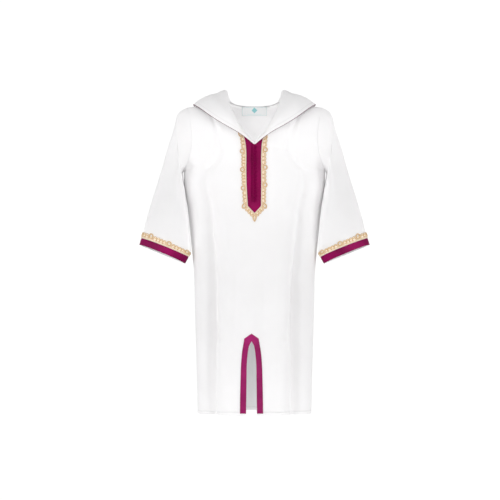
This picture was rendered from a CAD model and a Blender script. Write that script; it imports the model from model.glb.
"""The looks of a child's djellaba robe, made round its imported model.

+X is to the wearer's left, -Y out of the chest and +Z up. The tables of sizes are in millimetres and
the meshes in metres. Each white piece is a thin shell of cloth worked out from the same sections as
its solid, with the creases and hems that the solid leaves out. Trimmings are laid on the cloth below
them.
"""

import math

import bpy
import numpy as np
from mathutils import Matrix, Vector
from mathutils.bvhtree import BVHTree


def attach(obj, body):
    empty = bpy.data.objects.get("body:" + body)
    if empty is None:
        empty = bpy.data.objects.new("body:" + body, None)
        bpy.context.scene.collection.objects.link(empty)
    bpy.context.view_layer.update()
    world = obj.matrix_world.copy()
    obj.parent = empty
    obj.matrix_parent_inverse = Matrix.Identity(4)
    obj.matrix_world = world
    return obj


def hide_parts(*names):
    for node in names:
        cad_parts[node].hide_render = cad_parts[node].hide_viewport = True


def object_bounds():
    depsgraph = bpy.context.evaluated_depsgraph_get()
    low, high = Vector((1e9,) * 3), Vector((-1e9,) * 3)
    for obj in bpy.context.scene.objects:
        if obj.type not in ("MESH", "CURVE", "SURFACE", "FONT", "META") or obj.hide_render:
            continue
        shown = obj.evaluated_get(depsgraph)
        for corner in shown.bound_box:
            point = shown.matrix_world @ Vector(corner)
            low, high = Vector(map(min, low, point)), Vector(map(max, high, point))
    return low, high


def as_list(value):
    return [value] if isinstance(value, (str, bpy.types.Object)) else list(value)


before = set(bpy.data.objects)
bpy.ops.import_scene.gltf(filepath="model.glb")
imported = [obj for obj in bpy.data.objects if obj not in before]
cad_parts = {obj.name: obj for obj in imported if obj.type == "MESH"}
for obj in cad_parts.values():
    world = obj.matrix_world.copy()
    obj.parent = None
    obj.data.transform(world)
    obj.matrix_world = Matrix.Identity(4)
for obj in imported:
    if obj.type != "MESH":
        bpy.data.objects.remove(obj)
cad_low, cad_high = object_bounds()

MM = 0.001

# Walls and heights of what shows.
CLOTH = 0.8  # the white cloth
RIBBON = 0.7  # the satin ribbon
WOVEN = 0.4  # the neck label and the braid's ground

# How far the back of each trimming lies over the cloth below it.
STRIP_LIFT = 1.0
BINDING_LIFT = 0.6
CUFF_LIFT = 0.5
BRAID_LIFT = 0.4

# A panel's levels run from 0 at the hem to 1 at the shoulder seam.
HEM_Z = -701.0
ARMPIT_Z = -157.0
ARMPIT_LEVEL = 0.70
V_LEVEL = 0.79  # the bottom of the front neckline
NAPE_LEVEL = 0.94  # the middle of the back neckline

# The front slit and the chest closure hang a little to the wearer's right.
SLIT_TOP = -537.5
SLIT_X = -6.8
LEAN_TOP = -250.0  # the front's middle leans over to the slit between these heights
LEAN_FULL = -520.0
SLIT_BINDING_TIP = -520.0
SLIT_BINDING_CORNER = (-531.0, 15.8)  # height and half width
SLIT_BINDING_END = -696.5
CLOSURE_LINE = -4.7  # where the two chest strips meet
CLOSURE_CORNER = -237.5
CLOSURE_TIP = -253.0
CHEST_TOPS = {"right": -68.0, "left": -78.0}  # where the strips' outer edges meet the neckline
BRAID_RISE = 8.0  # the braid's outer edge meets it higher
CHEST_BRAID_CORNER = -243.0
CHEST_BRAID_TIP = -271.0

KNOTS = 14
KNOT_TOP = -107.5
KNOT_PITCH = 9.0
KNOT_X = 0.8
KNOT_RADIUS = 2.8
KNOT_PROUD = 4.6
LOOP_CORD = 0.6  # radius
LOOP_RADIUS = 3.7
LOOP_START_X = -7.6

NECK_MARGIN = 1.5  # between the neckline and what is sewn on below it
PIPING_THICK = 0.65  # radius
PIPING_SHOWS = 0.45  # past the hood's free edge
PIPING_UNDER = 0.2  # below the flap's upper side
LABEL_WIDE = 57.0
LABEL_TOP = -9.3
LABEL_HIGH = 20.5
LABEL_LAP = 3.6  # it is sewn over the neck seam by this much
LABEL_OFF = 4.7  # from the outer side of the back to the back of the label

STRIP_CROWN = 0.9  # how far the middle of a chest strip stands out
ROLLED_EDGE = (0.0, 0.5, 1.0, 1.6, 2.3)  # points of a strip's rolled edge, from the closure's line
GROOVE_WIDE = 2.6  # the groove between the strips
GROOVE_DEEP = 2.2
GROOVE_END = -224.0
BINDING_CROWN = 0.4  # how far the middle of a binding stands out
BINDING_STEPS = 8  # across it

# The braid is made flat, measured across from its corded edge, and laid on the cloth.
BRAID_WIDE = 12.8
BRAID_STEPS = 8  # across it, in its sheets of points
BRAID_MIDDLE = 4
POINT_STEPS = 15  # from a corner of the chest braid to its point
GROUND_WIDE = 9.2  # the woven ground, which is narrower at a ring
GROUND_AT_RING = 7.2
GROUND_SCALLOP = 2.0
RING_NOTCH = 4.3
SCALLOP_PITCH = 7.6
RING_ACROSS = 8.4  # a ring's middle from the corded edge
RING_HALF = 7.0  # from a ring's middle to the first loop beside it
CHEST_RINGS = {"right": (-81, -116, -157, -198, -234), "left": (-113, -152, -191, -234)}
CUFF_RINGS = 6
CUFF_RING_TURN = 98.0  # one of them is this far round the cuff

# The studio, in metres.
CAMERA_X = -0.0101
CAMERA_AWAY = 5.0
CAMERA_Z = -0.335
LENS = 160  # millimetres, like the sensor's width
SENSOR_WIDE = 36
FLOOR_DROP = 0.32  # from the hem down to the floor
FLOOR_RADIUS = 1.3
FLOOR_FADE = (0.5, 1.25)  # the floor fades out between these distances
FLOOR_DARK = (0.62, 0.62, 0.62, 1)
FLOOR_PALE = (0.66, 0.66, 0.66, 1)
AMBIENT = 0.715  # how strongly the white surroundings light the robe
BACKDROP = 1.05  # how white they look

# Lamps: the name of each, its place, its width and its watts.
LIGHTS = (
    ("key", (-0.2, -1.9, -0.27), 0.8, 9.1),
    ("left side", (-3.3, -2.2, -0.2), 1.8, 44),
    ("right side", (3.3, -2.2, -0.2), 1.8, 46),
    ("back", (0.8, 3.6, 0.2), 1.6, 30),
)

# A small lamp hangs inside the neck, out of the camera's sight, and lights the inside of the back.
NECK_LAMP_PLACE = (0, -0.035, -0.13)
NECK_LAMP_AIM = (0, 0.55, 0.45)
NECK_LAMP_WIDE = 0.09
NECK_LAMP_WATTS = 0.118


def table(columns, *rows):
    """A short table: each column's name with its numbers, from the rows."""
    return dict(zip(columns.split(), np.array(rows, float).T, strict=True))


# Half width, front depth and back depth of the body at each height.
BODY = table(
    "z half front back",
    (-701, 128, 90, 88),
    (-583, 131, 88, 87),
    (-448, 134.5, 85, 84),
    (-367, 137.5, 83, 81),
    (-313, 143, 82, 79),
    (-245, 150, 81, 77),
    (-178, 157.5, 80, 76),
    (-157, 159, 79, 76),
    (-100, 164, 75, 75),
    (-50, 164, 66, 68),
    (-10, 164, 56, 54),
)

# How far a panel's section turns from its middle to its side: a quarter turn below the armpit.
TURN = table(
    "level degrees",
    (0.60, 90),
    (0.70, 90),
    (0.75, 66),
    (0.80, 52),
    (0.86, 42),
    (0.92, 32),
    (1.00, 20),
)

# The neckline, from the bottom of the V and from the nape to the neck end of the shoulder seam.
NECK_FRONT = table(
    "share at_x at_y at_z",
    (0.00, 0, -75, -98),
    (0.25, 21, -69, -76),
    (0.50, 42, -55, -46),
    (0.76, 57, -29, -20),
    (1.00, 62, 2, 0),
)
NECK_BACK = table(
    "share at_x at_y at_z",
    (0.00, 0, 53, -12),
    (0.35, 24, 48, -10.5),
    (0.70, 47, 29, -6),
    (1.00, 62, 2, 0),
)

# Half width of the front slit and of its binding.
SLIT = table(
    "z cut bound",
    (-701, 11.8, 25.5),
    (-611, 10.6, 23.8),
    (-575, 9.3, 22.0),
    (-556, 7.0, 19.9),
    (-545, 4.3, 18.0),
    (-537.5, 0.0, 16.7),
)

# The outer edges of the chest strips and of the braid round them.
CHEST = table(
    "z right left braid_right braid_left",
    (-237.5, -14.4, 14.0, -26.5, 26.0),
    (-150, -18.0, 14.4, -30.8, 27.4),
    (-112, -18.2, 14.8, -31.2, 27.8),
    (-92, -20.8, 17.0, -33.0, 30.0),
    (-66, -28.5, 24.5, -38.5, 35.0),
)

# The armhole seen from the side.
ARMHOLE_Z = -86.0
ARMHOLE_HIGH = 71.0
ARMHOLE_FRONT = 48.0
ARMHOLE_BACK = 46.0
ARMHOLE_OUT = 140.0  # its distance from the middle halfway up, and what the top and the armpit add
ARMHOLE_OUT_TOP = 12.0
ARMHOLE_OUT_LOW = 19.0

# Upright folds of the panels: troughs, and ridges where the depth is negative. The place is a share of
# the half panel from the middle, 0, to the side seam, 1, and is negative on the wearer's right.
FRONT_FOLDS = table(
    "place wide depth top full at_hem",
    (-0.74, 0.110, -4.0, -110, -450, 0.80),
    (-0.49, 0.085, 12.5, -90, -500, 0.80),
    (-0.30, 0.120, -4.5, -90, -420, 0.80),
    (0.10, 0.080, 3.2, -300, -450, 0.35),
    (0.31, 0.110, -4.5, -90, -420, 0.75),
    (0.48, 0.080, 13.0, -100, -480, 0.85),
    (0.76, 0.110, -4.5, -120, -450, 0.85),
)
BACK_FOLDS = table(
    "place wide depth top full at_hem",
    (-0.60, 0.100, 8.0, -160, -560, 0.90),
    (-0.22, 0.090, 6.5, -240, -500, 0.85),
    (0.05, 0.110, -5.0, -200, -470, 0.80),
    (0.34, 0.095, 8.5, -190, -520, 0.85),
    (0.68, 0.095, 6.5, -150, -480, 0.80),
)

# Creases of the panels: the middle of each, its half length, its width, how far it leans as it climbs
# a hundred millimetres, and its depth. The two deep ones of the front sharpen its main folds.
FRONT_CREASES = table(
    "place z reach wide lean depth",
    (-0.83, -250, 70, 0.050, 0.05, 1.2),
    (-0.62, -300, 110, 0.045, 0.02, -1.1),
    (-0.475, -480, 360, 0.052, 0.004, 10.0),
    (-0.40, -610, 60, 0.040, -0.01, 1.3),
    (-0.20, -480, 120, 0.050, 0.01, 1.2),
    (-0.12, -320, 50, 0.050, 0.03, -0.8),
    (0.22, -600, 80, 0.050, -0.01, 1.6),
    (0.36, -250, 80, 0.045, -0.02, 1.0),
    (0.49, -490, 360, 0.052, -0.004, 11.0),
    (0.60, -360, 120, 0.045, -0.02, 1.1),
    (0.66, -620, 70, 0.050, 0.01, -1.2),
    (0.86, -270, 80, 0.045, -0.05, 1.3),
    (0.90, -520, 90, 0.050, 0.01, 1.2),
    (-0.90, -560, 80, 0.050, -0.01, 1.4),
)
BACK_CREASES = table(
    "place z reach wide lean depth",
    (-0.84, -260, 80, 0.050, 0.05, 1.6),
    (-0.74, -590, 70, 0.045, 0.00, -1.4),
    (-0.44, -390, 120, 0.050, 0.02, 1.8),
    (-0.36, -640, 60, 0.045, 0.01, 1.5),
    (-0.10, -520, 110, 0.050, 0.00, 1.6),
    (0.12, -330, 70, 0.050, -0.02, 1.5),
    (0.20, -610, 80, 0.045, 0.00, -1.3),
    (0.50, -420, 110, 0.050, -0.01, 1.7),
    (0.57, -640, 60, 0.045, 0.00, 1.4),
    (0.82, -300, 90, 0.050, -0.05, 1.5),
    (0.86, -560, 80, 0.045, 0.01, 1.6),
)

# The wearer's left sleeve from shoulder to cuff: its outer line, its underarm line and half its depth.
# The underarm line hangs up to 3.3 nearer the body than the solid's, so that the sleeve meets the body.
SLEEVE = table(
    "share outer_x outer_y outer_z inner_x inner_y inner_z deep",
    (0.10, 171, 0, -27, 164, -5, -171, 50),
    (0.22, 180, -2, -56, 158.2, -14, -190, 49),
    (0.38, 194, -4, -101, 153, -24, -222, 45),
    (0.54, 208.5, -6, -153, 148.5, -31, -262, 40),
    (0.70, 227, -9, -213, 144.5, -33, -300, 33),
    (0.86, 244.5, -12, -275, 142.5, -30, -333, 27),
    (0.93, 250.2, -13, -300, 145, -27, -343, 24),
    (1.00, 257, -14, -323.6, 156.6, -25, -364.8, 22),
)
CUFF_BRAID_FROM = 0.912
CUFF_RIBBON_FROM = 0.957
CUFF_GAP = 0.001  # between the line where ribbon and braid meet and each of them
CUFF_RISE = 3.6  # the middle of the cuff's front over its ends

# Folds of a sleeve: the share along it and the angle round it where each lies, its reach and its depth.
SLEEVE_FOLDS = table(
    "share turn reach round depth",
    (0.24, 140, 0.10, 24, 4.0),
    (0.40, 128, 0.10, 22, 3.0),
    (0.52, 62, 0.16, 24, 3.0),
    (0.70, 95, 0.18, 22, -2.5),
    (0.30, 230, 0.12, 24, 4.0),
    (0.52, 255, 0.16, 24, 4.0),
    (0.76, 285, 0.14, 24, 3.5),
    (0.16, 100, 0.06, 14, 1.2),
    (0.34, 75, 0.10, 10, 1.1),
    (0.46, 110, 0.07, 10, 1.2),
    (0.60, 135, 0.09, 12, 1.6),
    (0.62, 40, 0.10, 10, 1.0),
    (0.20, 265, 0.07, 13, 1.4),
    (0.44, 220, 0.09, 11, 1.5),
    (0.64, 300, 0.09, 11, 1.3),
    (0.66, 240, 0.10, 12, 1.6),
)

# Half of the hood, lying back, in sections from the bottom of the V, 0, past the shoulder, 0.5, to the
# middle of the back, 1. A section leaves the neck seam, goes over a roll, along the near layer to the
# hood's fold, and along the far layer to the free edge. On the chest the layers are one open flap.
HOOD = table(
    "round roll_x roll_y roll_z near_x near_y near_z fold_x fold_y fold_z "
    "far_x far_y far_z edge_x edge_y edge_z",
    (0.00, 0.4, -78.5, -95.5, 0.4, -80.5, -96, 0.4, -81.5, -97.5, 0.4, -81.5, -99, 0.4, -81, -101),
    (0.08, 14, -76.5, -84, 16.5, -79, -82, 18.5, -80.5, -82, 20.5, -80.7, -82.2, 22.5, -80, -83.2),
    (0.17, 30, -71, -65, 35, -76, -62, 39.5, -78.5, -63, 43, -78.5, -65, 46, -77.5, -67.8),
    (0.27, 43, -58, -39, 51, -66, -37, 59, -71.5, -41, 67, -73, -46, 73, -71.5, -52.3),
    (0.37, 54, -36, -14, 68, -47, -13, 82, -54.5, -18, 93, -57.5, -25, 102, -57, -33),
    (0.46, 59, -12, 9, 78, -20, 10, 96, -27, 4, 110, -30.5, -7.5, 121, -31.5, -18),
    (0.53, 61.5, 9, 20.8, 82, 10, 19, 103, 10, 13, 122, 9, 4, 137, 7, -7),
    (0.61, 57, 30, 3, 78, 48, 1, 102, 58, -12, 122, 57, -29, 126, 57, -17),
    (0.70, 43, 45, -6.5, 64, 71, -30, 90, 83, -66, 106, 88, -74, 98, 92, -37),
    (0.79, 28, 53, -10, 42, 84, -62, 64, 93, -124, 76, 101, -126, 67, 107, -56),
    (0.89, 14, 57.5, -11, 20, 90, -84, 33, 97, -188, 40, 113, -156, 35, 116, -70),
    (1.00, 0.3, 59, -11.4, 0.3, 91, -100, 0.3, 98, -240, 0.3, 123, -178, 0.3, 119, -78),
)
HOOD_KNOTS = (0.0, 0.12, 0.36, 0.62, 0.80, 1.0)  # where seam, roll, near, fold, far and edge lie
HOOD_MIDDLE = 0.35  # each half stops short of the seam down the middle


def spline(knots, values, at):
    """The natural cubic curve through the values at the knots, read at the numbers in at."""
    knots, values, at = (np.asarray(v, float) for v in (knots, values, at))
    gap = np.diff(knots)
    wide = gap.reshape(-1, *[1] * (values.ndim - 1))
    slope = np.diff(values, axis=0) / wide
    matrix = np.eye(len(knots))
    for i in range(1, len(knots) - 1):
        matrix[i, i - 1 : i + 2] = gap[i - 1], 2 * (gap[i - 1] + gap[i]), gap[i]
    turns = np.zeros_like(values)
    turns[1:-1] = 6 * np.diff(slope, axis=0)
    bend = np.linalg.solve(matrix, turns.reshape(len(knots), -1)).reshape(values.shape)
    i = np.clip(np.searchsorted(knots, at, "right") - 1, 0, len(knots) - 2)
    u = (np.clip(at, knots[0], knots[-1]) - knots[i]).reshape(at.shape + (1,) * (values.ndim - 1))
    start = slope[i] - wide[i] * (2 * bend[i] + bend[i + 1]) / 6
    return values[i] + u * (start + u * (bend[i] / 2 + u * (bend[i + 1] - bend[i]) / (6 * wide[i])))


def read(rows, column, at):
    """A table's column, read where its first column is at."""
    return spline(next(iter(rows.values())), rows[column], at)


def places(rows, prefix, at):
    """The points prefix_x, prefix_y, prefix_z of a table, read where its first column is at."""
    return np.stack([read(rows, f"{prefix}_{axis}", at) for axis in "xyz"], axis=-1)


def ease(value, start, end):
    """0 before start and 1 after end, with a soft step between."""
    share = np.clip((value - start) / (end - start), 0, 1)
    return share * share * (3 - 2 * share)


# --- Surfaces -----------------------------------------------------------------------------------------


def armhole(angle):
    """A point of the left armhole. Angle 0 is at the shoulder seam, and half a turn is at the armpit."""
    up = np.cos(angle)
    out = np.sin(angle)
    x = ARMHOLE_OUT + ARMHOLE_OUT_TOP * np.maximum(up, 0) ** 2 + ARMHOLE_OUT_LOW * np.maximum(-up, 0) ** 2
    y = -np.where(out > 0, ARMHOLE_FRONT, ARMHOLE_BACK) * out
    return np.stack([x, y, ARMHOLE_Z + ARMHOLE_HIGH * up], axis=-1)


def armhole_inwards(angle, apart):
    """The way a wall goes at the left armhole. At the armpit a panel's, -1, parts from the sleeve's, 1."""
    up = np.cos(angle)
    low = np.maximum(-up, 0) ** 2
    return np.stack([apart * low, np.sin(angle), np.minimum(-up, 0.3)], axis=-1)


def fold_depth(folds, place, z):
    """How far the folds push the cloth in, at a place across the panel and a height."""
    total = np.zeros(np.broadcast(place, z).shape)
    for middle, wide, depth, top, full, at_hem in zip(*folds.values(), strict=True):
        grown = ease(-z, -top, -full) * (1 - (1 - at_hem) * ease(-z, -full, -HEM_Z))
        total += depth * grown * np.exp(-(((place - middle) / wide) ** 2))
    return total * (1 - np.abs(place) ** 8)


def crease_depth(creases, place, z):
    """How far the creases push the cloth in."""
    total = np.zeros(np.broadcast(place, z).shape)
    for middle, at_z, reach, wide, lean, depth in zip(*creases.values(), strict=True):
        off = place - middle - lean * (z - at_z) / 100
        total += depth * np.exp(-(((z - at_z) / reach) ** 2) - (off / wide) ** 2)
    return total * (1 - np.abs(place) ** 6)


def slit_half(column, z):
    """Half a width of the slit: nothing above its top."""
    return np.where(z < SLIT_TOP, np.maximum(read(SLIT, column, z), 0), 0)


def panel(is_front, side, across, level):
    """Half a body panel and the ways its seams' walls go. Across runs from its middle, 0, to its side, 1.

    Side is 1 on the wearer's left and -1 on the right.
    """
    level = np.asarray(level, float)[:, None]
    across = np.asarray(across, float)[None, :]
    facing = -1 if is_front else 1
    neck, neck_level = (NECK_FRONT, V_LEVEL) if is_front else (NECK_BACK, NAPE_LEVEL)
    depth = "front" if is_front else "back"
    tube_z = HEM_Z + (ARMPIT_Z - HEM_Z) * level / ARMPIT_LEVEL

    climb = np.clip((level - ARMPIT_LEVEL) / (neck_level - ARMPIT_LEVEL), 0, 1)
    middle_z = np.minimum(tube_z, ARMPIT_Z) * (1 - climb) + neck["at_z"][0] * climb
    middle_x = 0 * middle_z
    if is_front:
        middle_x = side * SLIT_X * ease(-middle_z, -LEAN_TOP, -LEAN_FULL) + slit_half("cut", middle_z)
    inner = np.stack([middle_x, facing * read(BODY, depth, middle_z), middle_z], axis=-1)
    along_neck = (level - neck_level) / (1 - neck_level)
    inner = np.where((level > neck_level)[..., None], places(neck, "at", along_neck), inner)

    angle = -facing * math.pi * (1 - np.clip((level - ARMPIT_LEVEL) / (1 - ARMPIT_LEVEL), 0, 1))
    tube = np.stack([read(BODY, "half", tube_z), 0 * tube_z, tube_z], axis=-1)
    outer = np.where((level < ARMPIT_LEVEL)[..., None], tube, armhole(angle))

    turn = np.radians(read(TURN, "degrees", level))
    out_share = np.sin(across * turn) / np.sin(turn)
    in_share = (np.cos(across * turn) - np.cos(turn)) / (1 - np.cos(turn))
    x = inner[..., 0] + (outer[..., 0] - inner[..., 0]) * out_share
    y = outer[..., 1] + (inner[..., 1] - outer[..., 1]) * in_share
    z = inner[..., 2] + (outer[..., 2] - inner[..., 2]) * across

    push = fold_depth(FRONT_FOLDS if is_front else BACK_FOLDS, side * across, z)
    push = push + crease_depth(FRONT_CREASES if is_front else BACK_CREASES, side * across, z)
    out_x = x / read(BODY, "half", z) ** 2
    out_y = y / read(BODY, depth, z) ** 2
    size = np.hypot(out_x, out_y) + 1e-9
    grid = np.stack([side * (x - push * out_x / size), y - push * out_y / size, z], axis=-1)

    ways = np.zeros_like(grid)
    at_side = np.where(level < ARMPIT_LEVEL, [-1, 0, 0], armhole_inwards(angle[:, 0], -1))
    ways[:, -1] = at_side * [side, 1, 1]
    ways[-1] = [0, 0, -1]
    return grid * MM, ways


def sleeve(side, share, angle):
    """A sleeve. Share runs from the armhole, 0, to the cuff, 1, and angle from the outer line."""
    share = np.asarray(share, float)
    angle = np.asarray(angle, float)
    rings = [armhole(angle)]
    for at, ox, oy, oz, ix, iy, iz, deep in zip(*SLEEVE.values(), strict=True):
        outer = np.array([ox, oy, oz])
        inner = np.array([ix, iy, iz])
        ring = (outer + inner) / 2 + np.cos(angle)[:, None] * (outer - inner) / 2
        ring[:, 1] -= deep * np.sin(angle)
        ring[:, 2] += CUFF_RISE * ease(at, 0.5, 1) * (0.6 * np.sin(angle) + 0.4 * abs(np.sin(angle)))
        rings.append(ring)
    grid = spline([0, *SLEEVE["share"]], np.array(rings), share)
    away = grid - grid.mean(axis=1, keepdims=True)
    away /= np.linalg.norm(away, axis=2, keepdims=True)
    push = np.zeros(grid.shape[:2])
    for at, turn, reach, around, depth in zip(*SLEEVE_FOLDS.values(), strict=True):
        off = (np.degrees(angle)[None, :] - turn + 180) % 360 - 180
        push += depth * np.exp(-(((share[:, None] - at) / reach) ** 2) - (off / around) ** 2)
    push *= (ease(share, 0, 0.15) * (1 - ease(share, 0.75, 0.9)))[:, None]
    return (grid - away * push[..., None]) * [side * MM, MM, MM]


def hood(side, round_neck, along):
    """Half the hood. round_neck runs from the V to the middle of the back, and along from seam to edge."""
    round_neck = np.asarray(round_neck, float)
    front = places(NECK_FRONT, "at", np.clip(round_neck / 0.5, 0, 1))
    back = places(NECK_BACK, "at", np.clip((1 - round_neck) / 0.5, 0, 1))
    seam = np.where((round_neck < 0.5)[:, None], front, back) + [-1.2, 0, 1.2]
    lines = [seam] + [places(HOOD, name, round_neck) for name in ("roll", "near", "fold", "far", "edge")]
    grid = np.moveaxis(spline(HOOD_KNOTS, np.array(lines), np.asarray(along, float)), 0, 1)
    grid[..., 0] = np.maximum(grid[..., 0], HOOD_MIDDLE)
    ways = np.zeros_like(grid)
    for row in (0, -1):
        flat = -facing_of(grid)[row] * [0, 1, 1]
        ways[row] = flat / (np.linalg.norm(flat, axis=1, keepdims=True) + 1e-12)
    return grid * [side * MM, MM, MM], ways * [side, 1, 1]


# --- Cloth in fine steps ------------------------------------------------------------------------------

WELD = 1e-6  # metres: points nearer than this become one
SHARP_EDGE = 55  # degrees


def steps(start, end, count):
    """Points in so many even steps from start to end."""
    return np.linspace(start, end, count + 1)


def facing_of(grid, closed=False):
    """Unit vectors square to a grid, on the side that its faces look to."""
    along = np.gradient(grid, axis=0)
    across = (np.roll(grid, -1, axis=1) - np.roll(grid, 1, axis=1)) if closed else np.gradient(grid, axis=1)
    square = np.cross(across, along)
    return square / (np.linalg.norm(square, axis=2, keepdims=True) + 1e-12)


def lengths(grid, axis):
    """How far each point of a grid lies along its line, in metres."""
    gaps = np.linalg.norm(np.diff(grid, axis=axis), axis=2)
    total = np.cumsum(gaps, axis=axis)
    first = np.zeros_like(np.take(total, [0], axis=axis))
    return np.concatenate([first, total], axis=axis)


def sheet_faces(rows, columns):
    """The four corners of each face of a grid, as rows of point numbers."""
    row, column = np.meshgrid(np.arange(rows - 1), np.arange(columns - 1), indexing="ij")
    first = row * columns + column
    return np.stack([first, first + 1, first + columns + 1, first + columns], axis=-1).reshape(-1, 4)


def add_piece(name, mesh, material):
    """A mesh as a piece of the robe, in its material and slot."""
    mesh.materials.append(material)
    mesh.shade_smooth()
    mesh.set_sharp_from_angle(angle=math.radians(SHARP_EDGE))
    made = bpy.data.objects.new(name, mesh)
    bpy.context.scene.collection.objects.link(made)
    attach(made, "root")
    return made


def squares_of(spots, faces):
    """Unit vectors square to a mesh at each of its points."""
    squares = np.zeros_like(spots)
    for corner in range(4):
        here = spots[faces[:, corner]]
        one = spots[faces[:, (corner + 1) % 4]] - here
        other = spots[faces[:, (corner - 1) % 4]] - here
        np.add.at(squares, faces[:, corner], np.cross(one, other))
    return squares / (np.linalg.norm(squares, axis=1, keepdims=True) + 1e-15)


def open_edges(faces):
    """The edges that only one face has."""
    edges = {}
    for face in faces:
        for corner in range(4):
            a, b = int(face[corner]), int(face[(corner + 1) % 4])
            if (b, a) in edges:
                del edges[(b, a)]
            else:
                edges[(a, b)] = True
    return list(edges)


def shell(name, sheets, thick, material):
    """A closed wall of cloth from one or more sheets, welded where they meet.

    Each sheet is a dict of its grid, the ways its wall goes (zero for square to the cloth), whether its
    faces are flipped, and its flat coordinates in metres.
    """
    points, ways, flat, faces = [], [], [], []
    start = 0
    for sheet in sheets:
        grid = sheet["grid"]
        rows, columns = grid.shape[:2]
        corners = sheet_faces(rows, columns)
        if sheet["flipped"]:
            corners = corners[:, ::-1]
        faces.append(corners + start)
        points.append(grid.reshape(-1, 3))
        ways.append(sheet["ways"].reshape(-1, 3))
        flat.append(sheet["flat"].reshape(-1, 2))
        start += rows * columns
    points, ways, flat, faces = (np.concatenate(each) for each in (points, ways, flat, faces))
    keys = np.round(points / WELD).astype(np.int64)
    _, first, merged = np.unique(keys, axis=0, return_index=True, return_inverse=True)
    merged = merged.reshape(-1)
    welded = merged[faces]
    spots = points[first]

    given = ways[first]
    use = np.linalg.norm(given, axis=1, keepdims=True) > 0
    inwards = np.where(use, given, -squares_of(spots, welded))
    behind = spots + inwards * thick * MM

    count = len(spots)
    rims = [(b, a, a + count, b + count) for a, b in open_edges(welded)]
    rims = np.array(rims, int).reshape(-1, 4)
    inner = welded[:, ::-1] + count
    every = np.concatenate([welded, inner, rims])
    if thick < 0:
        every = every[:, ::-1]
    mesh = bpy.data.meshes.new(name)
    mesh.from_pydata(np.concatenate([spots, behind]).tolist(), [], every.tolist())
    layer = mesh.uv_layers.new(name="cloth")
    flat_spots = flat[first]
    outer_flat = flat[faces]
    rim_flat = flat_spots[rims % count] if len(rims) else np.zeros((0, 4, 2))
    values = np.concatenate([outer_flat, outer_flat[:, ::-1], rim_flat])
    if thick < 0:
        values = values[:, ::-1]
    layer.data.foreach_set("uv", values.reshape(-1).astype(np.float32))
    mesh.validate()
    return add_piece(name, mesh, material)


def a_sheet(grid, ways=None, flipped=False, flat=None):
    """What shell needs to know of a sheet."""
    if flat is None:
        flat = np.stack([lengths(grid, 1), lengths(grid, 0)], axis=-1)
    return {"grid": grid, "ways": 0 * grid if ways is None else ways, "flipped": flipped, "flat": flat}


RING_TURN = (0.12, 0.97, 0.21)  # sets how the rings of points round a cord are turned


def rings_round(path, closed, radius, sides):
    """A ring of points round each point of a path."""
    if closed:
        ahead = np.roll(path, -1, axis=0) - np.roll(path, 1, axis=0)
    else:
        ahead = np.gradient(path, axis=0)
    ahead /= np.linalg.norm(ahead, axis=1, keepdims=True) + 1e-15
    side = np.cross(ahead, RING_TURN)
    side /= np.linalg.norm(side, axis=1, keepdims=True) + 1e-15
    up = np.cross(side, ahead)
    turns = steps(0, 2 * math.pi, sides)[:-1][None, :, None]
    return path[:, None] + radius * MM * (np.cos(turns) * side[:, None] + np.sin(turns) * up[:, None])


def tube_mesh(paths, radius, sides=6):
    """Points, faces and flat coordinates of round cords along paths, with closed ends or as rings."""
    points, faces, flat = [], [], []
    start = 0
    for path, ring in paths:
        path = np.asarray(path, float)
        count = len(path)
        points.append(rings_round(path, ring, radius, sides).reshape(-1, 3))
        run = np.concatenate([[0], np.cumsum(np.linalg.norm(np.diff(path, axis=0), axis=1))])
        last = count if ring else count - 1
        for i in range(last):
            j = (i + 1) % count
            this, following = start + i * sides, start + j * sides
            near, far = run[i], run[j] if j else run[-1] + run[1]
            for k in range(sides):
                m = (k + 1) % sides
                left, right = k / sides, (k + 1) / sides
                faces.append([this + k, following + k, following + m, this + m])
                flat.append([(left, near), (left, far), (right, far), (right, near)])
        if not ring:
            faces.append([start + k for k in range(sides)])
            flat.append([(0, 0)] * sides)
            faces.append([start + (count - 1) * sides + k for k in reversed(range(sides))])
            flat.append([(0, run[-1])] * sides)
        start += count * sides
    return np.concatenate(points), faces, flat


def cords(name, groups, material):
    """Several cords joined in one piece. Each group is its paths, their radius and sides."""
    points, faces, flat = [], [], []
    start = 0
    for paths, radius, sides in groups:
        more, more_faces, more_flat = tube_mesh(paths, radius, sides)
        points.append(more)
        faces += [[start + i for i in face] for face in more_faces]
        flat += more_flat
        start += len(more)
    mesh = bpy.data.meshes.new(name)
    mesh.from_pydata(np.concatenate(points).tolist(), [], faces)
    layer = mesh.uv_layers.new(name="cloth")
    layer.data.foreach_set("uv", np.array([spot for face in flat for spot in face], np.float32).reshape(-1))
    return add_piece(name, mesh, material)


# --- Materials ----------------------------------------------------------------------------------------


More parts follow.
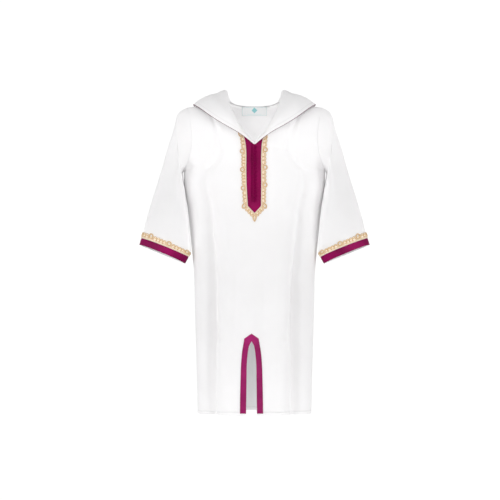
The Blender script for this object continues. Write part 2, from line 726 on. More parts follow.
class Nodes:
    """A material's nodes, added one by one and linked by their sockets."""

    def __init__(self, name):
        """An empty material, with the cloth's flat coordinates and its place in metres to build on."""
        self.material = bpy.data.materials.new(name)
        self.material.use_nodes = True
        self.tree = self.material.node_tree
        self.shader = self.tree.nodes["Principled BSDF"]
        self.flat = self.add("ShaderNodeUVMap", uv_map="cloth").outputs["UV"]
        self.place = self.add("ShaderNodeTexCoord").outputs["Object"]

    def add(self, kind, links=(), **settings):
        """A new node with its settings, each of its inputs linked or given a value."""
        made = self.tree.nodes.new(kind)
        for key, value in settings.items():
            setattr(made, key, value)
        for socket, value in dict(links).items():
            self.put(made.inputs[socket], value)
        return made

    def put(self, socket, value):
        """Links an input to another node's output, or gives it a value."""
        if isinstance(value, bpy.types.NodeSocket):
            self.tree.links.new(value, socket)
        else:
            socket.default_value = value

    def noise(self, vector, scale, detail=3.0, rough=0.55):
        """Noise about one half."""
        links = {"Vector": vector, "Scale": scale, "Detail": detail, "Roughness": rough}
        return self.add("ShaderNodeTexNoise", links).outputs["Fac"]

    def math(self, operation, one, other=0.0, third=0.0):
        """One sum on up to three values."""
        return self.add("ShaderNodeMath", {0: one, 1: other, 2: third}, operation=operation).outputs[0]

    def remap(self, value, low, high, to_low, to_high):
        """A value between low and high moved smoothly to between to_low and to_high."""
        links = {"Value": value, 1: low, 2: high, 3: to_low, 4: to_high}
        return self.add("ShaderNodeMapRange", links, interpolation_type="SMOOTHSTEP").outputs[0]

    def mix(self, share, one, other):
        """A colour between two others."""
        return self.add("ShaderNodeMix", {0: share, 6: one, 7: other}, data_type="RGBA").outputs[2]

    def parts(self, vector):
        """The three numbers of a vector."""
        return self.add("ShaderNodeSeparateXYZ", {0: vector}).outputs

    def threads(self, scale):
        """Noise drawn out along the cloth."""
        drawn = self.add("ShaderNodeMapping", {"Vector": self.flat, "Scale": scale}).outputs[0]
        return self.noise(drawn, 1.0)

    def total(self, *terms):
        """The sum of some values, each given with its weight."""
        (value, weight), *rest = terms
        if not rest:
            return self.math("MULTIPLY", value, weight)
        return self.math("MULTIPLY_ADD", value, weight, self.total(*rest))

    def bump(self, height, distance, strength=1.0, below=None):
        """Raised detail, on top of any below it."""
        links = {"Height": height, "Distance": distance, "Strength": strength}
        if below is not None:
            links["Normal"] = below
        return self.add("ShaderNodeBump", links).outputs["Normal"]

    def finish(self, colour, normal=None, **sockets):
        """The material, with its shader's inputs set."""
        self.put(self.shader.inputs["Base Color"], colour)
        if normal is not None:
            self.put(self.shader.inputs["Normal"], normal)
        for name, value in sockets.items():
            self.put(self.shader.inputs[name.replace("_", " ")], value)
        return self.material


def ribs(nodes, value, pitch, sharp=1.0):
    """Even ribs along a flat coordinate in metres: 0 in the grooves, 1 on the ribs."""
    wave = nodes.math("SINE", nodes.math("MULTIPLY", value, 2 * math.pi / pitch))
    return nodes.math("POWER", nodes.math("MULTIPLY_ADD", wave, 0.5, 0.5), sharp)


def white_cloth(name, stitched):
    """A fine white crepe. A row of stitches runs along the hem where the piece has one."""
    nodes = Nodes(name)
    across, up, _ = nodes.parts(nodes.flat)
    weave = nodes.math("ADD", ribs(nodes, across, 0.00062), ribs(nodes, up, 0.00054))
    pebble = nodes.noise(nodes.flat, 1500.0, 2.0)
    slubs = nodes.threads((60, 900, 1))
    rumple = nodes.noise(nodes.place, 34.0, 3.0, 0.5)
    height = nodes.total((pebble, 0.8), (slubs, 0.6), (weave, 0.35))
    normal = nodes.bump(rumple, 0.0011, 0.35)
    normal = nodes.bump(height, 0.00016, 0.55, normal)
    shade = nodes.remap(nodes.noise(nodes.place, 9.0, 4.0), 0.3, 0.7, 0.0, 1.0)
    thread = nodes.remap(pebble, 0.35, 0.65, 0.0, 0.35)
    colour = nodes.mix(shade, (0.895, 0.885, 0.888, 1), (0.925, 0.918, 0.920, 1))
    colour = nodes.mix(thread, colour, (0.86, 0.848, 0.853, 1))
    if stitched:
        dash = nodes.math("LESS_THAN", nodes.math("FRACT", nodes.math("DIVIDE", across, 0.0031)), 0.66)
        near = nodes.math("ABSOLUTE", nodes.math("SUBTRACT", up, stitched * MM))
        line = nodes.remap(near, 0.0002, 0.0011, 1.0, 0.0)
        thread_line = nodes.math("MULTIPLY", nodes.remap(near, 0.0001, 0.0005, 1.0, 0.0), dash)
        normal = nodes.bump(line, -0.0006, 0.8, normal)
        normal = nodes.bump(thread_line, 0.0004, 0.8, normal)
        colour = nodes.mix(nodes.math("MULTIPLY", line, 0.22), colour, (0.62, 0.60, 0.61, 1))
    return nodes.finish(
        colour,
        normal,
        Roughness=nodes.remap(pebble, 0.3, 0.7, 0.74, 0.88),
        Specular_IOR_Level=0.2,
        Subsurface_Weight=0.7,
        Subsurface_Radius=(1.0, 1.0, 1.0),
        Subsurface_Scale=0.004,
    )


def satin(name, dark, light):
    """Satin ribbon: fine ribs across it, streaks along it and a slow drift from dark to light."""
    nodes = Nodes(name)
    along = nodes.parts(nodes.flat)[0]
    grain = ribs(nodes, along, 0.0011, 1.4)
    streak = nodes.threads((90, 1300, 1))
    wander = nodes.noise(nodes.place, 60.0)
    drift = nodes.noise(nodes.place, 17.0, 1.0)
    share = nodes.total((streak, 0.4), (grain, 0.25), (drift, 0.9), (wander, 0.3))
    colour = nodes.mix(nodes.remap(share, 0.62, 1.24, 0.0, 1.0), dark, light)
    normal = nodes.bump(wander, 0.0006, 0.5)
    normal = nodes.bump(nodes.math("MULTIPLY_ADD", streak, 0.5, grain), 0.00014, 0.7, normal)
    return nodes.finish(
        colour,
        normal,
        Roughness=nodes.remap(streak, 0.3, 0.7, 0.34, 0.50),
        Anisotropic=0.5,
        Specular_IOR_Level=0.08,
    )


def twisted(name, dark, light, metallic, roughness, twist=0.0014):
    """Cord of twisted threads: slanting strands with dark lines between them."""
    nodes = Nodes(name)
    around, along, _ = nodes.parts(nodes.flat)
    lay = nodes.math("ADD", nodes.math("MULTIPLY", along, 1 / twist), nodes.math("MULTIPLY", around, 2.0))
    wave = nodes.math("SINE", nodes.math("MULTIPLY", lay, 2 * math.pi))
    strand = nodes.math("MULTIPLY_ADD", wave, 0.5, 0.5)
    wander = nodes.noise(nodes.place, 420.0)
    share = nodes.total((wander, 0.5), (strand, 0.6))
    colour = nodes.mix(nodes.remap(share, 0.2, 0.9, 0.0, 1.0), dark, light)
    normal = nodes.bump(strand, 0.00025, 0.8)
    rough = nodes.remap(wander, 0.3, 0.7, roughness - 0.06, roughness + 0.08)
    return nodes.finish(colour, normal, Metallic=metallic, Roughness=rough, Specular_IOR_Level=0.05)


def gold_ground(name, dark, light):
    """The woven ground of the braid: close rows of metal thread."""
    nodes = Nodes(name)
    along, across, _ = nodes.parts(nodes.flat)
    slant = nodes.math("MULTIPLY_ADD", across, 0.6, along)
    rows = nodes.math("MULTIPLY", ribs(nodes, slant, 0.0012), ribs(nodes, across, 0.0009))
    wander = nodes.noise(nodes.place, 500.0)
    share = nodes.total((wander, 0.6), (rows, 0.6))
    colour = nodes.mix(nodes.remap(share, 0.2, 0.85, 0.0, 1.0), dark, light)
    normal = nodes.bump(rows, 0.0003, 0.8)
    rough = nodes.remap(wander, 0.3, 0.7, 0.42, 0.6)
    return nodes.finish(colour, normal, Metallic=0.25, Roughness=rough, Specular_IOR_Level=0.5)


def label_cloth(name, wide, high):
    """A woven label with a thin frame, a lozenge and a plain bar. It carries no words."""
    nodes = Nodes(name)
    across, up, _ = nodes.parts(nodes.flat)
    x = nodes.math("ABSOLUTE", nodes.math("SUBTRACT", across, wide * MM / 2))
    y = nodes.math("ABSOLUTE", nodes.math("SUBTRACT", up, high * MM / 2))
    to_side = nodes.math("SUBTRACT", wide * MM / 2, x)
    to_end = nodes.math("SUBTRACT", high * MM / 2, y)
    edge = nodes.math("MINIMUM", to_side, to_end)
    past_margin = nodes.math("GREATER_THAN", edge, 0.0010)
    band = nodes.math("MULTIPLY", past_margin, nodes.math("LESS_THAN", edge, 0.0017))
    rise = nodes.math("ABSOLUTE", nodes.math("SUBTRACT", up, (high * 0.60) * MM))
    lozenge = nodes.math("LESS_THAN", nodes.math("ADD", x, rise), 0.0066)
    low = nodes.math("ABSOLUTE", nodes.math("SUBTRACT", up, (high * 0.18) * MM))
    bar = nodes.math("MULTIPLY", nodes.math("LESS_THAN", low, 0.0007), nodes.math("LESS_THAN", x, 0.016))
    weave = nodes.math("MULTIPLY", ribs(nodes, across, 0.0005), ribs(nodes, up, 0.0004))
    wander = nodes.noise(nodes.flat, 900.0, 2.0)
    ground = nodes.mix(wander, (0.60, 0.61, 0.61, 1), (0.67, 0.68, 0.68, 1))
    teal = nodes.mix(wander, (0.13, 0.36, 0.38, 1), (0.24, 0.50, 0.52, 1))
    colour = nodes.mix(nodes.math("MULTIPLY", band, 0.9), ground, (0.42, 0.56, 0.57, 1))
    colour = nodes.mix(nodes.math("MULTIPLY", bar, 0.45), colour, (0.42, 0.56, 0.57, 1))
    colour = nodes.mix(lozenge, colour, teal)
    normal = nodes.bump(nodes.math("MULTIPLY_ADD", wander, 0.4, weave), 0.00012, 0.6)
    rough = nodes.remap(wander, 0.3, 0.7, 0.5, 0.65)
    return nodes.finish(colour, normal, Roughness=rough, Specular_IOR_Level=0.4)


# --- The white pieces ---------------------------------------------------------------------------------

HEM_FOLD = 7.0  # from the hem up to its stitches
HEM_DENT = 0.25  # how far the stitches draw the cloth in, and over what height
HEM_DENT_HIGH = 0.9
HEM_ROWS = (0, 0.8, 1.8, 3.2, 4.6, 5.8, 6.4, 7.0, 7.6, 8.4, 9.6, 11.5)
SIDES = (("left", 1), ("right", -1))
IN_FRONT = -0.5  # a y in front of the whole robe
INSIDE = 0.0  # a y inside the body
ASIDE = (0, 2e-5, -2e-5, 4e-4, -4e-4)  # metres aside, for a point on the line between two sheets
PANEL_ACROSS = steps(0, 1, 64)
SLEEVE_ROUND = steps(0, 2 * math.pi, 120)[:-1]
FINE_LEVELS = (-562, -530)  # a panel's levels are closer together between these heights
TRIANGLE = 0.5  # the share of its rectangle that a triangle fills
FILLED = 0.99  # the most that any piece fills


def panel_levels():
    """Levels of a panel: close together at the hem and at the top of the slit."""
    fine_from, fine_to = FINE_LEVELS
    heights = [HEM_Z + np.array(HEM_ROWS), np.arange(HEM_Z + 14, fine_from, 4.0)]
    heights += [np.arange(fine_from, fine_to, 1.5), np.arange(fine_to, ARMPIT_Z - 2, 4.0)]
    lower = ARMPIT_LEVEL * (np.concatenate(heights) - HEM_Z) / (ARMPIT_Z - HEM_Z)
    return np.concatenate([lower, steps(ARMPIT_LEVEL, 1, 60)])


def panel_sheets(is_front):
    """The two halves of a body panel, drawn in along the stitches of the hem."""
    sheets = []
    for _, side in SIDES:
        flipped = (side > 0) != is_front
        grid, ways = panel(is_front, side, PANEL_ACROSS, panel_levels())
        inwards = facing_of(grid) * (1 if flipped else -1)
        rise = grid[..., 2:] / MM - HEM_Z - HEM_FOLD
        grid = grid + inwards * HEM_DENT * MM * np.exp(-((rise / HEM_DENT_HIGH) ** 2))
        flat = np.stack([side * lengths(grid, 1), grid[..., 2] - HEM_Z * MM], axis=-1)
        sheets.append(a_sheet(grid, ways, flipped, flat))
    return sheets


def once_round(grid):
    """A grid with its first column again at the end, so that it closes."""
    return np.concatenate([grid, grid[:, :1]], axis=1)


def grid_area(grid):
    """The area of a grid in square metres."""
    one = grid[1:, 1:] - grid[:-1, :-1]
    other = grid[1:, :-1] - grid[:-1, 1:]
    return float(np.linalg.norm(np.cross(one, other), axis=2).sum() / 2)


def cut_of(grids):
    """The flat size and area that the grids of one piece were cut to, side by side."""
    wide = sum(float(lengths(grid, 1)[:, -1].max()) for grid in grids)
    long = max(float(lengths(grid, 0)[-1].max()) for grid in grids)
    area = min(sum(grid_area(grid) for grid in grids), FILLED * wide * long)
    return (wide, long), area


def make_body(cloth):
    """The front and the back, each with the sheets that it was made from."""
    made = {}
    for name, is_front in (("front", True), ("back", False)):
        sheets = panel_sheets(is_front)
        made[name] = shell(f"{name}_cloth", sheets, CLOTH, cloth)
        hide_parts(name)
        made[f"{name}_sheets"] = sheets
    return made


def make_sleeves(cloth):
    """The two sleeves, each one piece round the arm, with their grids."""
    made = {}
    for name, side in SIDES:
        grid = sleeve(side, steps(0, 1, 110), SLEEVE_ROUND)
        ways = np.zeros_like(grid)
        ways[0] = armhole_inwards(SLEEVE_ROUND, 1) * [side, 1, 1]
        sheet = a_sheet(once_round(grid), once_round(ways), side < 0)
        made[name] = shell(f"sleeve_cloth_{name}", [sheet], CLOTH, cloth)
        made[f"{name}_grid"] = sheet["grid"]
        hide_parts(f"sleeve_{name}")
    return made


# Shares of the hood round the neck and along the cloth. They are close together at the free edge.
HOOD_ROUND = np.concatenate([steps(0, 0.5, 60), steps(0.5, 1, 60)[1:]])
HOOD_ALONG = np.concatenate([steps(0, 0.94, 76), [0.955, 0.962, 0.968, 0.975, 0.985, 0.993, 1.0]])


def make_hood(cloth):
    """The two halves of the hood, with their grids."""
    made = {}
    for name, side in SIDES:
        grid, ways = hood(side, HOOD_ROUND, HOOD_ALONG)
        to_edge = lengths(grid, 1)
        flat = np.stack([lengths(grid, 0), to_edge[:, -1:] - to_edge], axis=-1)
        sheet = a_sheet(grid, ways, side < 0, flat)
        made[name] = shell(f"hood_cloth_{name}", [sheet], -CLOTH, cloth)
        made[f"{name}_grid"] = grid
        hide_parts(f"hood_{name}")
    return made


def make_piping(material):
    """One cord along the hood's free edge, from one side of the V round the back to the other."""
    sides = []
    for _, side in SIDES:
        grid = hood(side, np.concatenate([[0.012], steps(0.02, 1, 150)]), (0.98, 1.0))[0]
        out = grid[:, 1] - grid[:, 0]
        out /= np.linalg.norm(out, axis=1, keepdims=True)
        up = side * facing_of(grid)[:, 1]
        sides.append(grid[:, 1] + (out * PIPING_SHOWS - up * PIPING_UNDER) * MM)
    left, right = sides
    middle = (left[-1:] + right[-1:]) / 2
    path = np.concatenate([left[:-1], middle, right[-2::-1]])
    made = cords("hood_edge_cord", [([(path, False)], PIPING_THICK, 8)], material)
    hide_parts("hood_piping")
    return made


# --- Trimmings ----------------------------------------------------------------------------------------


def surface_of(sheets):
    """The sheets as one surface that points can be laid on."""
    points, faces, start = [], [], 0
    for sheet in sheets:
        rows, columns = sheet["grid"].shape[:2]
        points.append(sheet["grid"].reshape(-1, 3))
        faces.append(sheet_faces(rows, columns) + start)
        start += rows * columns
    points = [Vector(point) for point in np.concatenate(points)]
    return BVHTree.FromPolygons(points, np.concatenate(faces).tolist())


def laid_on(surface, lines, lift, from_y=IN_FRONT):
    """Rows of points, given by x and z in millimetres, laid on a surface and moved off it towards -y."""
    lines = np.array(lines, float)
    grid = np.zeros((*lines.shape[:2], 3))
    for place in np.ndindex(lines.shape[:2]):
        x, z = lines[place] * MM
        for aside in ASIDE:
            found, square, _, _ = surface.ray_cast(Vector((x + aside, from_y, z)), Vector((0, 1, 0)))
            if found:
                break
        grid[place] = x, found.y - lift * MM / abs(square.y), z
    return grid


def neckline_z(x):
    """The height of the front neckline at a distance from the middle."""
    share = steps(0, 1, 80)
    return np.interp(abs(x), read(NECK_FRONT, "at_x", share), read(NECK_FRONT, "at_z", share))


def ribbon(name, grid, material, flipped):
    """A satin ribbon on a grid that runs along it and then across it."""
    flat = np.stack([lengths(grid, 0), lengths(grid, 1)], axis=-1)
    return shell(name, [a_sheet(grid, None, flipped, flat)], -RIBBON, material)


def make_chest_strips(front, material):
    """The satin strips that meet at the closure. Their edges roll down into its groove."""
    made = []
    for side, top in CHEST_TOPS.items():
        top_edge = read(CHEST, side, top)
        lines = []
        for level in steps(CLOSURE_CORNER, top, 90):
            share = (level - CLOSURE_CORNER) / (top - CLOSURE_CORNER)
            edge = read(CHEST, side, level)
            turn_in = CLOSURE_LINE + np.sign(edge - CLOSURE_LINE) * np.array(ROLLED_EDGE)
            spread = np.linspace(turn_in[-1], edge, 10)[1:]
            xs = np.concatenate([turn_in, spread])
            if side == "left":
                xs[np.argmin(abs(xs))] = 0.0
            point = (CLOSURE_TIP - CLOSURE_CORNER) * (1 - abs(xs / edge))
            rise = np.array([neckline_z(x * top_edge / edge) for x in xs]) - NECK_MARGIN - top
            lines.append(np.stack([xs, level + point * (1 - share) + rise * share], axis=-1))
        grid = laid_on(front, lines, STRIP_LIFT)
        x, z = np.moveaxis(np.array(lines), -1, 0)
        from_line = abs(x - CLOSURE_LINE)
        groove = np.exp(-((from_line / GROOVE_WIDE) ** 2)) * ease(z, GROOVE_END - 6, GROOVE_END + 4)
        edges = np.linspace(0, 1, x.shape[1])[None, :]
        grid[..., 1] -= (STRIP_CROWN * (1 - edges**6) - GROOVE_DEEP * groove) * MM
        strip = ribbon(f"chest_satin_{side}", grid, material, side == "right")
        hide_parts(f"chest_strip_{side}")
        made.append(strip)
    return made


def make_slit_binding(front, material):
    """The satin ribbon up one edge of the front slit, over its top in a point, and down the other."""
    corner_z, corner_x = SLIT_BINDING_CORNER
    rows = []
    for side in (-1, 1):
        half = []
        for z in np.concatenate([steps(SLIT_BINDING_END, -560, 46), steps(-558, -541, 10)]):
            half.append((read(SLIT, "cut", z) + 0.4, read(SLIT, "bound", z), z, z))
        half.append((0.9, corner_x, SLIT_TOP - 1, corner_z))
        rows.append([
            ((SLIT_X + side * near, low), (SLIT_X + side * far, high)) for near, far, low, high in half
        ])
    tip = ((SLIT_X, SLIT_TOP + 0.6), (SLIT_X, SLIT_BINDING_TIP))
    every = [*rows[0], tip, *rows[1][::-1]]
    lines = [steps(near, far, BINDING_STEPS) for near, far in every]
    grid = laid_on(front, lines, BINDING_LIFT)
    share = steps(-1, 1, BINDING_STEPS)[None, :]
    grid[..., 1] -= BINDING_CROWN * (1 - share**6) * MM
    made = ribbon("slit_satin", grid, material, True)
    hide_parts("slit_binding")
    return made


def cuff_grid(side, start, end, rows, lift):
    """A band round a sleeve, lifted off it, and the ways square to it."""
    grid = sleeve(side, steps(start, end, rows), SLEEVE_ROUND)
    out = side * facing_of(grid, closed=True)
    return once_round(grid + out * lift * MM), once_round(out)


def make_cuff_ribbons(material):
    """The satin ribbon round the edge of each cuff."""
    made = {}
    for name, side in SIDES:
        grid, out = cuff_grid(side, CUFF_RIBBON_FROM + CUFF_GAP, 1.0, 10, CUFF_LIFT)
        share = np.linspace(-1, 1, len(grid))[:, None, None]
        grid = grid + out * BINDING_CROWN * (1 - share**6) * MM
        flat = np.stack([lengths(grid, 1), lengths(grid, 0)], axis=-1)
        sheet = a_sheet(grid, None, side < 0, flat)
        made[name] = shell(f"cuff_satin_{name}", [sheet], -RIBBON, material)
        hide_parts(f"cuff_ribbon_{name}")
    return made


def patch(grid, out, wide):
    """The points of a braid's own surface, given along it, across it and above it in millimetres."""
    rows, columns = grid.shape[:2]
    run = lengths(grid, 0)[:, columns // 2] / MM
    both = np.concatenate([grid, out], axis=2)

    def at(along, across, above):
        along, across, above = np.broadcast_arrays(*(np.asarray(v, float) for v in (along, across, above)))
        row = np.clip(np.interp(along, run, np.arange(rows)), 0, rows - 1.001)
        column = across / wide * (columns - 1)
        i, j = row.astype(int), np.clip(column.astype(int), 0, columns - 2)
        u, v = (row - i)[..., None], (column - j)[..., None]
        here = both[i, j] * (1 - u) * (1 - v) + both[i + 1, j] * u * (1 - v)
        here = here + both[i, j + 1] * (1 - u) * v + both[i + 1, j + 1] * u * v
        return here[..., :3] + here[..., 3:] * above[..., None] * MM

    return at, run[-1]


def rope(at, start, end, across, above, radius, pitch):
    """Two plies twisted round each other along a line of a braid."""
    along = np.arange(start, end, 0.8)
    turn = 2 * math.pi * along / pitch
    made = []
    for ply in (0, math.pi):
        side, rise = radius * np.cos(turn + ply), radius * np.sin(turn + ply)
        made.append((at(along, across + side, above + rise), False))
    return made


def braid_ground(name, at, length, rings, out, material):
    """The woven ground of a braid, scalloped along its outer edge."""
    along = np.append(np.arange(0, length, 1.2), length)
    to_ring = np.abs(along[:, None] - np.array(rings)[None, :]).min(axis=1)
    scallop = np.abs(np.sin(math.pi * (to_ring - RING_HALF) / SCALLOP_PITCH))
    notch = (GROUND_WIDE - GROUND_AT_RING) * np.exp(-((to_ring / RING_NOTCH) ** 4))
    outer = GROUND_WIDE + GROUND_SCALLOP * (scallop - 0.5) - notch
    across = steps(0, 1, BRAID_STEPS)[None, :] * outer[:, None]
    crown = 1 - steps(-1, 1, BRAID_STEPS)[None, :] ** 4
    ground = at(along[:, None], across, 0.2 + 0.35 * crown)
    square = np.cross(ground[0, 1] - ground[0, 0], ground[1, 0] - ground[0, 0])
    flipped = bool(np.dot(square, out) < 0)
    flat = np.stack([np.broadcast_to(along[:, None], across.shape), across], axis=-1) * MM
    sheet = a_sheet(ground, None, flipped, flat)
    return shell(f"{name}_ground", [sheet], -WOVEN, material)


def braid_threads(at, length, rings):
    """The thick and the thin threads of a braid, each a path and whether it closes in a ring."""
    thin, thick = [], []
    stops = [-RING_HALF, *rings, length + RING_HALF]
    for before, after in zip(stops[:-1], stops[1:], strict=True):
        start, end = before + RING_HALF, after - RING_HALF
        if end - start < SCALLOP_PITCH * 0.6:
            continue
        count = max(1, round((end - start) / SCALLOP_PITCH))
        turn = np.linspace(0, 2 * math.pi * count, 14 * count + 1)
        along = start + (end - start) * turn / turn[-1]
        # Each thread's place along the braid, across it and above it.
        loops = (along - 2.2 * np.sin(turn), 5.6 - 2.3 * np.cos(turn), 1.3 + 0.35 * np.sin(turn / 2 + 0.6))
        arcs = (along, 8.2 + 2.6 * np.abs(np.sin(turn / 2)), 1.1 + 0.3 * np.cos(turn))
        wave = (along, 5.6 + 1.8 * np.sin(turn / 2), 1.9 + 0.3 * np.cos(turn))
        low_wave = (along, 3.3 - 0.8 * np.cos(turn), 1.0)
        thick += [(at(*loops), False), (at(*arcs), False)]
        thin += [(at(*wave), False), (at(*low_wave), False)]
    round_turn = steps(0, 2 * math.pi, 28)[:-1]
    for ring in rings:
        for radius, above in ((5.3, 1.5), (3.7, 1.3)):
            circle = (ring + radius * np.cos(round_turn), RING_ACROSS + radius * np.sin(round_turn), above)
            thick.append((at(*circle), True))
        bead = (ring + 0.5 * np.cos(round_turn), RING_ACROSS - 0.6 + 0.5 * np.sin(round_turn), 1.2)
        thin.append((at(*bead), True))
        for lean in (-1, 1):
            small = (ring + lean * 4.6 + 1.3 * np.cos(round_turn), 3.6 + 1.2 * np.sin(round_turn), 1.3)
            thin.append((at(*small), True))
    return thick, thin


def braid(name, grid, out, rings, materials):
    """Gold braid with a corded edge, looped threads, scallops and, here and there, a ring."""
    at, length = patch(grid, out, BRAID_WIDE)
    rings = sorted(rings)
    base = braid_ground(name, at, length, rings, out[0, 0], materials["ground"])
    thick, thin = braid_threads(at, length, rings)
    threads = cords(f"{name}_cords", [(thick, 0.75, 6), (thin, 0.45, 5)], materials["cord"])
    corded = rope(at, 0, length, across=1.1, above=1.2, radius=0.55, pitch=3.8)
    edge = cords(f"{name}_edge", [(corded, 0.62, 6)], materials["edge"])
    return base, threads, edge


def make_chest_braid(front, materials):
    """The braid down one side of the strips, round their point and up the other side."""
    rows = []
    for side, out in (("right", -1), ("left", 1)):
        top = CHEST_TOPS[side]
        heights = steps(top, CLOSURE_CORNER, 110)
        share = (heights - CLOSURE_CORNER) / (top - CLOSURE_CORNER)
        near = np.stack([read(CHEST, side, heights) + out * 0.8, heights], axis=-1)
        foot_drop = (CHEST_BRAID_CORNER - CLOSURE_CORNER) * ease(share, 0.14, 0)
        far_heights = heights + BRAID_RISE * ease(share, 0.86, 1) + foot_drop
        far = np.stack([read(CHEST, f"braid_{side}", heights), far_heights], axis=-1)
        rows.append(np.stack([near, far], axis=1))
    tip = np.array([[(0, CLOSURE_TIP - 0.8), (0, CHEST_BRAID_TIP)]])
    down = rows[0][-1:] + (tip - rows[0][-1:]) * steps(0, 1, POINT_STEPS)[1:, None, None]
    up = tip + (rows[1][-1:] - tip) * steps(0, 1, POINT_STEPS)[1:-1, None, None]
    every = np.concatenate([rows[0], down, up, rows[1][::-1]])
    lines = every[:, :1] + (every[:, 1:] - every[:, :1]) * steps(0, 1, BRAID_STEPS)[None, :, None]
    grid = laid_on(front, lines, BRAID_LIFT)
    out = facing_of(grid)
    out *= np.where(out[..., 1:2] > 0, -1, 1)
    run = lengths(grid, 0)[:, BRAID_MIDDLE] / MM
    first, last = len(rows[0]), len(every) - len(rows[1])
    rings = [float(np.interp(-z, -every[:first, 0, 1], run[:first])) for z in CHEST_RINGS["right"]]
    rings += [float(np.interp(z, every[last:, 0, 1], run[last:])) for z in CHEST_RINGS["left"]]
    rings.append(float(run[first + POINT_STEPS - 1]))
    made = braid("chest_gold", grid, out, rings, materials)
    for piece in made:
        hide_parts("chest_braid")
    return made


def make_cuff_braids(materials):
    """The gold braid round each cuff, next to the ribbon."""
    made = {}
    for name, side in SIDES:
        band = cuff_grid(side, CUFF_BRAID_FROM, CUFF_RIBBON_FROM - CUFF_GAP, BRAID_STEPS, BRAID_LIFT)
        grid, out = (np.swapaxes(each[::-1], 0, 1) for each in band)
        run = lengths(grid, 0)[:, BRAID_MIDDLE] / MM
        pitch = run[-1] / CUFF_RINGS
        middle = float(np.interp(CUFF_RING_TURN / 360, np.linspace(0, 1, len(run)), run))
        rings = [float((middle + number * pitch) % run[-1]) for number in range(CUFF_RINGS)]
        made[name] = braid(f"cuff_gold_{name}", grid, out, rings, materials)
        for piece in made[name]:
            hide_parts(f"cuff_braid_{name}")
    return made


def make_knots(front, material):
    """The knotted buttons of the closure, each a cord tied in a ball, and their loops."""
    foot = STRIP_LIFT + RIBBON + STRIP_CROWN
    # The ball's cord goes round it twice and weaves in and out five times.
    turn = steps(0, 2 * math.pi, 90)[:-1]
    tied = 1 + 0.42 * np.cos(5 * turn)
    ball = np.stack([tied * np.cos(2 * turn), 0.62 * np.sin(5 * turn), tied * np.sin(2 * turn)], axis=-1)
    core = np.stack([0.35 * np.cos(turn), 0 * turn, 0.35 * np.sin(turn)], axis=-1)
    knots, cores, loops = [], [], []
    for number in range(KNOTS):
        z = KNOT_TOP - number * KNOT_PITCH
        lean = 0.35 * math.sin(number * 2.3)
        middle = laid_on(front, [[(KNOT_X + lean, z)]], foot + KNOT_PROUD * 0.42)[0, 0]
        knots.append((middle + ball * KNOT_RADIUS * 0.70 * MM, True))
        cores.append((middle + core * KNOT_RADIUS * MM, True))
        bend = [
            (KNOT_X + lean + LOOP_RADIUS * math.cos(angle), z + LOOP_RADIUS * math.sin(angle))
            for angle in steps(math.pi / 2, -math.pi / 2, 14)
        ]
        legs = LOOP_START_X + 0.9 * np.arange(8)
        line = [(x, z + LOOP_RADIUS) for x in legs] + bend + [(x, z - LOOP_RADIUS) for x in legs[::-1]]
        path = laid_on(front, [line], foot + LOOP_CORD)[0]
        path[:, 1] += 0.5 * MM * ease(-path[:, 0] / MM, 3.0, 6.0)
        loops.append((path, False))
    made = cords("closure_knots", [(knots, 0.72, 6), (cores, 1.1, 6)], material)
    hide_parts(*(f"knot_{number + 1:02d}" for number in range(KNOTS)))
    made_loops = cords("closure_loops", [(loops, LOOP_CORD, 6)], material)
    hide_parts(*(f"loop_{number + 1:02d}" for number in range(KNOTS)))
    return made, made_loops


def make_label(back, material):
    """The plain woven label inside the back of the neck."""
    across = steps(-LABEL_WIDE / 2, LABEL_WIDE / 2, 24)
    rise = steps(LABEL_TOP - LABEL_HIGH, LABEL_TOP, 14)
    lines = [[(x, z - LABEL_LAP) for x in across] for z in rise]
    grid = laid_on(back, lines, LABEL_OFF, INSIDE) + np.array([0, 0, LABEL_LAP]) * MM
    flat_x, flat_y = np.meshgrid(across + LABEL_WIDE / 2, rise - rise[0])
    flat = np.stack([flat_x, flat_y], axis=-1) * MM
    made = shell("neck_label_cloth", [a_sheet(grid, None, False, flat)], -WOVEN, material)
    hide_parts("neck_label")
    return made


# --- Studio -------------------------------------------------------------------------------------------


def add_lamp(name, place, aim, size, power):
    """A round lamp that shines the way aim points."""
    data = bpy.data.lights.new(name, "AREA")
    data.shape = "DISK"
    data.size = size
    data.energy = power
    lamp = bpy.data.objects.new(name, data)
    lamp.location = place
    lamp.rotation_euler = Vector(aim).to_track_quat("-Z", "Y").to_euler()
    bpy.context.scene.collection.objects.link(lamp)
    return lamp


def make_world():
    """White surroundings, which look whiter than they light."""
    world = bpy.data.worlds.new("studio")
    bpy.context.scene.world = world
    world.use_nodes = True
    tree = world.node_tree
    soft = tree.nodes["Background"]
    soft.inputs["Strength"].default_value = AMBIENT
    soft.inputs["Color"].default_value = (1.0, 0.995, 1.0, 1)
    backdrop = tree.nodes.new("ShaderNodeBackground")
    backdrop.inputs["Color"].default_value = (1.0, 1.0, 1.0, 1)
    backdrop.inputs["Strength"].default_value = BACKDROP
    seen = tree.nodes.new("ShaderNodeLightPath")
    blend = tree.nodes.new("ShaderNodeMixShader")
    tree.links.new(seen.outputs["Is Camera Ray"], blend.inputs[0])
    tree.links.new(soft.outputs[0], blend.inputs[1])
    tree.links.new(backdrop.outputs[0], blend.inputs[2])
    tree.links.new(blend.outputs[0], tree.nodes["World Output"].inputs["Surface"])


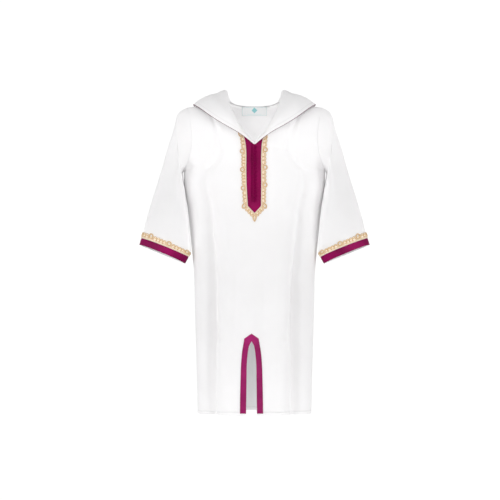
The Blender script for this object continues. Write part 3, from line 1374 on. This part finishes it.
def make_studio():
    """The surroundings, floor, lamps and camera."""
    make_world()
    bpy.ops.object.select_all(action="DESELECT")
    bpy.ops.mesh.primitive_circle_add(vertices=96, radius=FLOOR_RADIUS, fill_type="NGON")
    floor = bpy.context.active_object
    floor.name = "floor"
    floor.data.transform(Matrix.Translation((0, 0, cad_low[2] - FLOOR_DROP)))
    floor.data.materials.append(floor_material())

    middle = Vector((0, 0, cad_low[2] / 2))
    for name, place, size, power in LIGHTS:
        add_lamp(name, place, middle - Vector(place), size, power)
    inside = add_lamp("inside the neck", NECK_LAMP_PLACE, NECK_LAMP_AIM, NECK_LAMP_WIDE, NECK_LAMP_WATTS)
    inside.visible_camera = False

    data = bpy.data.cameras.new("camera")
    data.lens = LENS
    data.sensor_width = SENSOR_WIDE
    data.clip_end = 50
    camera = bpy.data.objects.new("camera", data)
    camera.location = (CAMERA_X, -CAMERA_AWAY, CAMERA_Z)
    camera.rotation_euler = (math.pi / 2, 0, 0)
    bpy.context.scene.collection.objects.link(camera)
    bpy.context.scene.camera = camera
    bpy.context.scene.view_settings.view_transform = "Standard"


def floor_material():
    """Pale floor paint that runs out into the white of the studio."""
    nodes = Nodes("floor")
    away = nodes.add("ShaderNodeVectorMath", {0: nodes.place}, operation="LENGTH").outputs["Value"]
    share = nodes.remap(away, *FLOOR_FADE, 0.0, 1.0)
    grain = nodes.add("ShaderNodeTexNoise", {"Scale": 40}).outputs["Fac"]
    nodes.finish(nodes.mix(grain, FLOOR_DARK, FLOOR_PALE), Roughness=0.8)
    clear = nodes.add("ShaderNodeBsdfTransparent").outputs[0]
    blend = nodes.add("ShaderNodeMixShader", {0: share, 1: nodes.shader.outputs[0], 2: clear})
    nodes.put(nodes.tree.nodes["Material Output"].inputs["Surface"], blend.outputs[0])
    return nodes.material


# --- Making -------------------------------------------------------------------------------------------

make_studio()
white = white_cloth("white_crepe_plain", 0.0)
white_hemmed = white_cloth("white_crepe_hemmed", HEM_FOLD)
chest_satin = satin("magenta_satin_chest", (0.155, 0.0, 0.043, 1), (0.29, 0.0, 0.082, 1))
slit_satin = satin("magenta_satin_slit", (0.20, 0.006, 0.072, 1), (0.33, 0.016, 0.125, 1))
cuff_satin = satin("magenta_satin_cuff", (0.11, 0.0, 0.033, 1), (0.30, 0.001, 0.094, 1))
cord_satin = twisted("magenta_cord_satin", (0.08, 0.001, 0.026, 1), (0.16, 0.004, 0.055, 1), 0.0, 0.45)
closure_satin = twisted("magenta_closure_satin", (0.13, 0.0, 0.036, 1), (0.28, 0.0, 0.078, 1), 0.0, 0.5)
gold = {
    "cord": twisted("gold_thread", (0.49, 0.315, 0.15, 1), (0.92, 0.70, 0.43, 1), 0.2, 0.42, 0.0011),
    "edge": twisted("gold_edge_thread", (0.80, 0.64, 0.42, 1), (0.97, 0.89, 0.73, 1), 0.1, 0.45, 0.0012),
    "ground": gold_ground("gold_ground", (0.97, 0.84, 0.66, 1), (1.0, 0.97, 0.90, 1)),
}
woven_label = label_cloth("woven_label", LABEL_WIDE, LABEL_HIGH)

body = make_body(white_hemmed)
sleeves = make_sleeves(white)
hoods = make_hood(white_hemmed)
piping = make_piping(cord_satin)
front_surface = surface_of(body["front_sheets"])
back_surface = surface_of(body["back_sheets"])
strips = make_chest_strips(front_surface, chest_satin)
binding = make_slit_binding(front_surface, slit_satin)
cuffs = make_cuff_ribbons(cuff_satin)
chest_gold = make_chest_braid(front_surface, gold)
cuff_gold = make_cuff_braids(gold)
closure = make_knots(front_surface, closure_satin)
label = make_label(back_surface, woven_label)

for name, others in (("front", [*strips, *chest_gold, *closure, binding]), ("back", [label])):
    flat, area = cut_of([sheet["grid"] for sheet in body[f"{name}_sheets"]])
    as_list(others)
for name, _ in SIDES:
    flat, area = cut_of([sleeves[f"{name}_grid"]])

    # Half a hood is near to a triangle, so its flat length comes from its area and its width.
    (wide, long), area = cut_of([hoods[f"{name}_grid"]])
    flat = (wide, min(long, area / (TRIANGLE * wide)))
